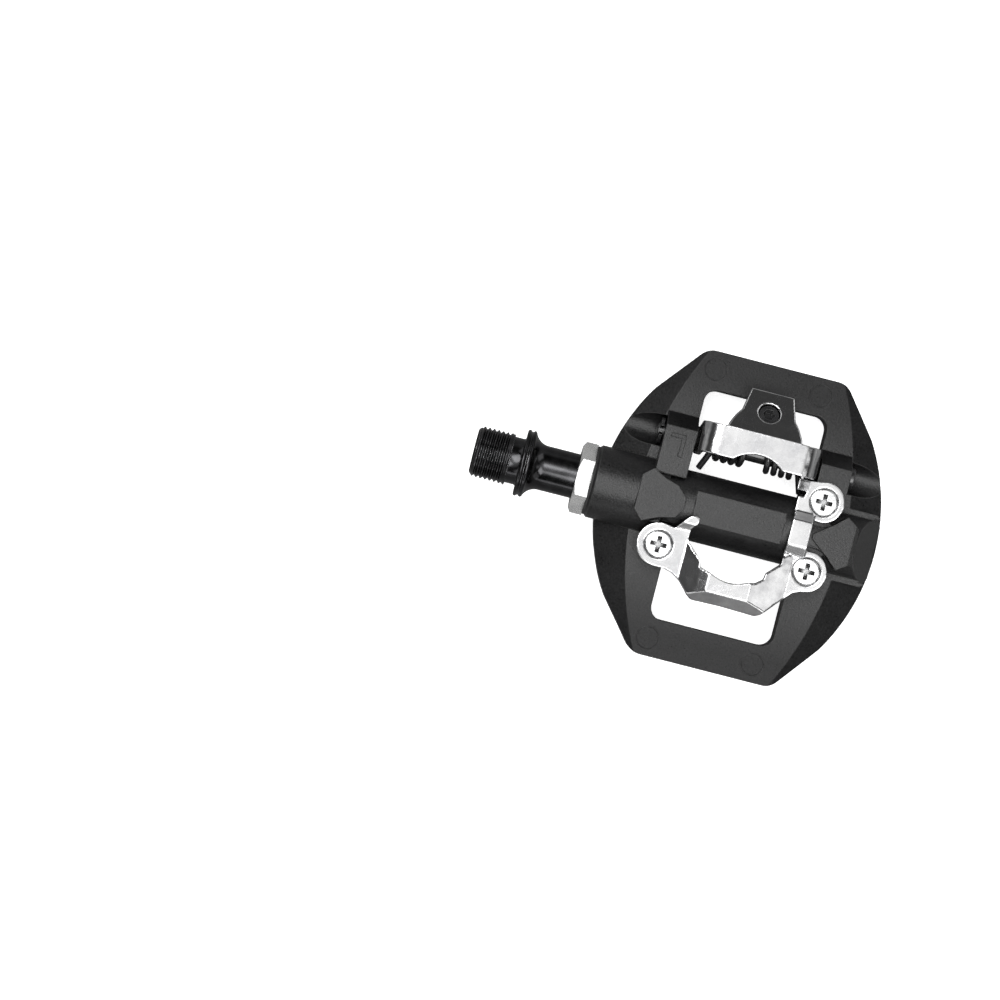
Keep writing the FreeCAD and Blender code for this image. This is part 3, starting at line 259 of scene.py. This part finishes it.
def bright_zinc():
    """Bright zinc on screws and nuts, with painted shade in recesses."""
    s = Shader("bright_zinc")
    s.put(Metallic=1.0)
    smoke = s.noise(400.0, 4.0)
    grain = s.noise(3600.0, 2.0)
    normal, _ = s.edges(0.20 * MM)
    colour = s.colours(s.spread(smoke, 0.3, 0.7, 0, 1), (0.86, 0.86, 0.86), (0.66, 0.67, 0.68))
    # Painted shade: cross recesses and corners darkened almost to black.
    colour = s.over(s.painted_cavity_shade(1.5 * MM, 0.50, 0.88), colour, (0.02, 0.02, 0.02))
    rough = s.spread(s.math("ADD", smoke, grain), 0.7, 1.3, 0.14, 0.30)
    return s.finish(colour, rough, s.bump(grain, 0.2, 0.03 * MM, normal))


def black_oxide():
    """Glossy black oxide on the pin, the springs and the adjusting screw, with a painted highlight
    on edges and painted shade in recesses.
    """
    s = Shader("black_oxide")
    s.put(Metallic=0.0, Specular_IOR_Level=0.7, Coat_Weight=0.35, Coat_Roughness=0.12)
    smoke = s.noise(350.0, 4.0)
    normal, edge = s.edges(0.15 * MM)
    base = s.colours(s.spread(smoke, 0.3, 0.7, 0, 1), (0.010, 0.010, 0.011), (0.028, 0.028, 0.029))
    # Painted highlight: sharp edges painted mid grey.
    colour = s.over(s.math("MULTIPLY", edge, 0.35), base, (0.25, 0.25, 0.25))
    # Painted shade: recesses and corners darkened to black.
    colour = s.over(s.painted_cavity_shade(1.0 * MM), colour, (0.0, 0.0, 0.0))
    rough = s.spread(smoke, 0.3, 0.7, 0.18, 0.34)
    return s.finish(colour, rough, s.bump(s.noise(2400.0, 2.0), 0.25, 0.03 * MM, normal))


def plain(name, low, high, rough_low, rough_high, metallic=0.0):
    """A simple finish with mottled colour and roughness and a fine grain."""
    s = Shader(name)
    s.put(Metallic=metallic)
    smoke = s.noise(300.0, 4.0)
    fine = s.noise(2200.0, 2.0)
    normal, _ = s.edges(0.15 * MM)
    colour = s.colours(s.spread(smoke, 0.3, 0.7, 0, 1), low, high)
    rough = s.spread(smoke, 0.3, 0.7, rough_low, rough_high)
    return s.finish(colour, rough, s.bump(fine, 0.25, 0.04 * MM, normal))


FINISHES = {
    "black_body": cast_black(),
    "chrome_plate": pressed_chrome(),
    "spindle_steel": polished_black(),
    "sleeve_nickel": satin_nickel(),
    "zinc_fastener": bright_zinc(),
    "nylon": plain("nylon", (0.62, 0.63, 0.64), (0.74, 0.75, 0.76), 0.35, 0.5),
    "black_steel": black_oxide(),
    "dark_polymer": plain("dark_polymer", (0.02, 0.02, 0.02), (0.04, 0.04, 0.04), 0.5, 0.65),
    "rubber_seal": plain("rubber_seal", (0.010, 0.010, 0.010), (0.022, 0.022, 0.022), 0.6, 0.8),
    "bronze": plain("bronze", (0.50, 0.32, 0.15), (0.62, 0.42, 0.22), 0.25, 0.4, 1.0),
    "spacer_alloy": plain("spacer_alloy", (0.62, 0.62, 0.63), (0.74, 0.74, 0.75), 0.25, 0.38, 1.0),
    "bearing_steel": plain("bearing_steel", (0.66, 0.66, 0.67), (0.78, 0.78, 0.79), 0.1, 0.2, 1.0),
    "bearing_trim": plain("bearing_trim", (0.48, 0.48, 0.49), (0.60, 0.60, 0.61), 0.25, 0.4, 1.0),
}

for part in frame["record"]["subparts"]:
    mesh = NODES[part["node"]].data
    mesh.materials.clear()
    mesh.materials.append(FINISHES[part["material_slot"]])


# ---------------------------------------------------------------- spindle

def ring_mesh(name, rings, material):
    """A mesh from closed rings of equal length; the first and last shrink to points as caps."""
    sharp_angle = math.radians(40)
    merge_distance = 1e-7
    mesh = bpy.data.meshes.new(name)
    points = []
    faces = []
    count = len(rings[0])
    for ring in rings:
        points += ring
    for row in range(len(rings) - 1):
        for step in range(count):
            a = row * count + step
            b = row * count + (step + 1) % count
            faces.append((a, b, b + count, a + count))
    mesh.from_pydata(points, [], faces)
    made = bmesh.new()
    made.from_mesh(mesh)
    bmesh.ops.remove_doubles(made, verts=made.verts, dist=merge_distance)
    bmesh.ops.recalc_face_normals(made, faces=made.faces)
    for face in made.faces:
        face.smooth = True
    for edge in made.edges:
        if len(edge.link_faces) == 2 and edge.calc_face_angle() > sharp_angle:
            edge.smooth = False
    made.to_mesh(mesh)
    made.free()
    mesh.materials.append(material)
    piece = bpy.data.objects.new(name, mesh)
    scene.collection.objects.link(piece)
    return piece


# The spindle's sizes, in millimetres from the crank's face and from the axis.
THREAD = {"pitch": 1.27, "crest": 7.144, "depth": 0.70, "start": 3.0, "end": 13.0, "chamfer": 1.3}
KEY = {"flats": 8.0, "depth": 6.0, "drill_tip": 1.6, "drill_radius": 3.3, "mouth_radius": 4.75,
       "mouth_depth": 0.45}
NECK_RADIUS = 6.1
FLARE_RADIUS = 4.0
FLARE_CENTRE_X = -6.6
ROUND_STEPS = 120
THREAD_ROWS = 126
FLARE_STEPS = 14

# Outlines of the turned steel as (place along X, radius), from the thread inwards.
COLLAR = ((2.9, 6.38), (2.6, 6.35), (0.45, 6.35), (0.12, 6.48), (0.0, 6.8),
          (0.0, 8.7), (-0.10, 9.0), (-0.32, 9.17), (-0.62, 9.2), (-0.86, 9.12),
          (-1.02, 8.88), (-1.3, 8.76), (-1.58, 8.88), (-1.74, 9.12), (-2.0, 9.18),
          (-2.3, 9.08), (-2.52, 8.86), (-2.62, 8.55))
JOURNALS = ((-12.0, NECK_RADIUS), (-20.9, NECK_RADIUS), (-21.0, 6.0), (-36.9, 6.0), (-37.0, 5.95),
            (-39.0, 5.0), (-79.9, 5.0), (-80.0, 4.9), (-80.0, 4.0), (-88.0, 4.0),
            (-88.05, 3.5), (-91.7, 3.5), (-92.0, 3.2), (-92.0, 0.0))


def hexagon_radius(flats, angle):
    """The distance from the axis to a hexagon's side at this angle."""
    sector = math.radians(60)
    away = (angle + sector / 2) % sector - sector / 2
    return flats / 2 / math.cos(away)


def thread_radius(x, angle):
    """The left-hand thread's surface: full depth at the tip, running out towards the collar."""
    crest_share = 0.12
    root_widening = 1.12
    crest_drop = 0.15
    run_out_depth = 0.35
    run_out_from = 0.2
    run_out_length = 1.3
    chamfer_lift = 0.05
    phase = (x / THREAD["pitch"] + angle / (2 * math.pi)) % 1.0
    groove = max(0.0, abs(phase - 0.5) * 2 - crest_share) / (1 - crest_share)
    groove = min(1.0, groove * root_widening)
    fade = min(1.0, max(0.0, (x - THREAD["start"] - run_out_from) / run_out_length))
    depth = THREAD["depth"] * (crest_drop + (1 - crest_drop) * groove)
    radius = THREAD["crest"] - depth * (run_out_depth + (1 - run_out_depth) * fade)
    limit = THREAD["crest"] - THREAD["chamfer"] + chamfer_lift + (THREAD["end"] - x)
    return min(radius, limit)


def turned_ring(x, radius_at):
    """Points round the axis at one place along it; the radius is a number or a rule by angle."""
    points = []
    for step in range(ROUND_STEPS):
        angle = 2 * math.pi * step / ROUND_STEPS
        radius = radius_at(angle) if callable(radius_at) else radius_at
        points.append((x * MM, radius * MM * math.cos(angle), radius * MM * math.sin(angle)))
    return points


def flare_profile():
    """The rounded flare between the collar and the neck, a little wider where it begins."""
    centre = (FLARE_CENTRE_X, NECK_RADIUS + FLARE_RADIUS)
    start = (-2.62, 8.58)
    widening = 0.29
    first = math.atan2(start[1] - centre[1], start[0] - centre[0])
    outline = []
    for step in range(1, FLARE_STEPS + 1):
        share = step / FLARE_STEPS
        angle = first + (-math.pi / 2 - first) * share
        reach = FLARE_RADIUS + widening * (1 - share)
        outline.append((centre[0] + reach * math.cos(angle), centre[1] + reach * math.sin(angle)))
    return outline


def make_spindle():
    """The axle with its left-hand 20 threads-per-inch thread and the key socket in its end."""
    end = THREAD["end"]
    key_floor = end - KEY["depth"]
    chamfer_foot = THREAD["crest"] - THREAD["chamfer"]
    rings = [turned_ring(key_floor - KEY["drill_tip"], 0.0),
             turned_ring(key_floor - 0.1, KEY["drill_radius"])]
    for x in (key_floor, end - KEY["mouth_depth"]):
        rings.append(turned_ring(x, lambda angle: hexagon_radius(KEY["flats"], angle)))
    rings.append(turned_ring(end, KEY["mouth_radius"]))
    rings.append(turned_ring(end, chamfer_foot - 0.15))
    rings.append(turned_ring(end - 0.06, chamfer_foot + 0.02))
    first_row = end - 0.08
    for row in range(THREAD_ROWS + 1):
        x = first_row - (first_row - THREAD["start"]) * row / THREAD_ROWS
        rings.append(turned_ring(x, lambda angle: thread_radius(x, angle)))
    for x, radius in (*COLLAR, *flare_profile(), *JOURNALS):
        rings.append(turned_ring(x, radius))
    piece = ring_mesh("axle", rings, FINISHES["spindle_steel"])
    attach(piece, "spindle")
    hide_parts("spindle")


make_spindle()


# ---------------------------------------------------------------- softened sheet metal

def soften(node, voxel, passes):
    """Rolled edges for a pressed part: a fine remesh, then smoothing."""
    piece = NODES[node]
    remesh = piece.modifiers.new("rolled", "REMESH")
    remesh.mode = "VOXEL"
    remesh.voxel_size = voxel
    remesh.use_smooth_shade = True
    smooth = piece.modifiers.new("smoothed", "SMOOTH")
    smooth.factor = 0.5
    smooth.iterations = passes


soften("hook_plate", 0.22 * MM, 6)
soften("jaw_plate", 0.22 * MM, 5)


# ---------------------------------------------------------------- floor, light and camera

def make_floor():
    """A white floor under the pedal: bright where the camera sees it, grey to every other ray."""
    gap = 0.2 * MM
    low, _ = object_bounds()
    bpy.ops.mesh.primitive_plane_add(size=6, location=(-REACH, 0, low.z - gap))
    floor = bpy.context.object
    floor.name = "floor"
    s = Shader("floor_white")
    s.put(Roughness=0.9, Specular_IOR_Level=0.1)
    pale = s.colours(s.noise(14.0, 2.0), (0.90, 0.90, 0.90), (0.93, 0.93, 0.93))
    seen = s.node("ShaderNodeLightPath").outputs["Is Camera Ray"]
    bounced = s.node("ShaderNodeMix", data_type="RGBA")
    s.link(seen, bounced.inputs["Factor"])
    bounced.inputs["A"].default_value = (0.20, 0.20, 0.20, 1)
    s.link(pale, bounced.inputs["B"])
    s.put(Emission_Color=(1, 1, 1, 1))
    s.link(s.math("MULTIPLY", seen, 0.80), s.surface.inputs["Emission Strength"])
    floor.data.materials.append(s.finish(bounced.outputs["Result"]))


def make_world():
    """Bright straight overhead, dark in a band below that, grey at the horizon and under it.

    The camera itself sees a plain pale grey.
    """
    world = bpy.data.worlds.new("studio")
    scene.world = world
    world.use_nodes = True
    tree = world.node_tree
    shade = tree.nodes["Background"]
    place = tree.nodes.new("ShaderNodeTexCoord")
    split = tree.nodes.new("ShaderNodeSeparateXYZ")
    tree.links.new(place.outputs["Generated"], split.inputs["Vector"])
    ramp = tree.nodes.new("ShaderNodeValToRGB")
    stops = ((0.0, 0.40), (0.22, 0.30), (0.40, 0.04),
             (0.80, 0.07), (0.90, 0.80), (1.0, 1.10))
    elements = ramp.color_ramp.elements
    while len(elements) < len(stops):
        elements.new(0.5)
    for element, (position, value) in zip(elements, stops):
        element.position = position
        element.color = (value, value, value, 1)
    tree.links.new(split.outputs["Z"], ramp.inputs["Fac"])
    tree.links.new(ramp.outputs["Color"], shade.inputs["Color"])
    shade.inputs["Strength"].default_value = 1.0
    seen = tree.nodes.new("ShaderNodeBackground")
    seen.inputs["Color"].default_value = (0.92, 0.92, 0.92, 1)
    rays = tree.nodes.new("ShaderNodeLightPath")
    mix = tree.nodes.new("ShaderNodeMixShader")
    tree.links.new(rays.outputs["Is Camera Ray"], mix.inputs["Fac"])
    tree.links.new(shade.outputs["Background"], mix.inputs[1])
    tree.links.new(seen.outputs["Background"], mix.inputs[2])
    tree.links.new(mix.outputs["Shader"], tree.nodes["World Output"].inputs["Surface"])


def area_light(name, place, across, power):
    """A rectangular light in watts, aimed at the middle of the binding."""
    data = bpy.data.lights.new(name, "AREA")
    data.shape = "RECTANGLE"
    data.size, data.size_y = across
    data.energy = power
    light = bpy.data.objects.new(name, data)
    scene.collection.objects.link(light)
    light.location = place
    aim = Vector((-REACH, 0, 0)) - Vector(place)
    light.rotation_euler = aim.to_track_quat("-Z", "Y").to_euler()


def make_lights():
    """Two big lights overhead, two strips, and four low corner lights for the sides."""
    area_light("key", (0.25, -0.22, 0.98), (0.6, 0.6), 6.0)
    area_light("fill", (-0.30, 0.35, 0.95), (0.6, 0.5), 4.0)
    area_light("outer_strip", (-0.80, 0.05, 0.76), (0.22, 0.4), 0.30)
    area_light("front_strip", (-0.1, 0.9, 0.35), (0.9, 0.15), 0.8)
    corner_distance = 0.85
    corner_height = 0.42
    for number, azimuth in enumerate((40, 140, 220, 320)):
        around = math.radians(azimuth)
        place = (-REACH + corner_distance * math.sin(around),
                 corner_distance * math.cos(around), corner_height)
        area_light("corner_%d" % number, place, (0.6, 0.5), 1.0)


def make_camera():
    """Straight above, a little beyond the spindle's end and turned with the pedal's slant."""
    data = bpy.data.cameras.new("camera")
    data.sensor_width = 36.0
    data.lens = 83.9
    data.clip_start = 0.01
    data.clip_end = 20.0
    camera = bpy.data.objects.new("camera", data)
    scene.collection.objects.link(camera)
    turn = math.radians(14.4)
    above = (2.8, 11.3, 630.0)
    right = Vector((-math.cos(turn), -math.sin(turn), 0))
    up = Vector((math.sin(turn), -math.cos(turn), 0))
    back = Vector((0, 0, 1))
    place = Matrix((right, up, back)).transposed().to_4x4()
    place.translation = Vector(above) * MM
    camera.matrix_world = place
    scene.camera = camera


make_floor()
make_world()
make_lights()
make_camera()
scene.view_settings.view_transform = "Standard"
scene.view_settings.look = "None"
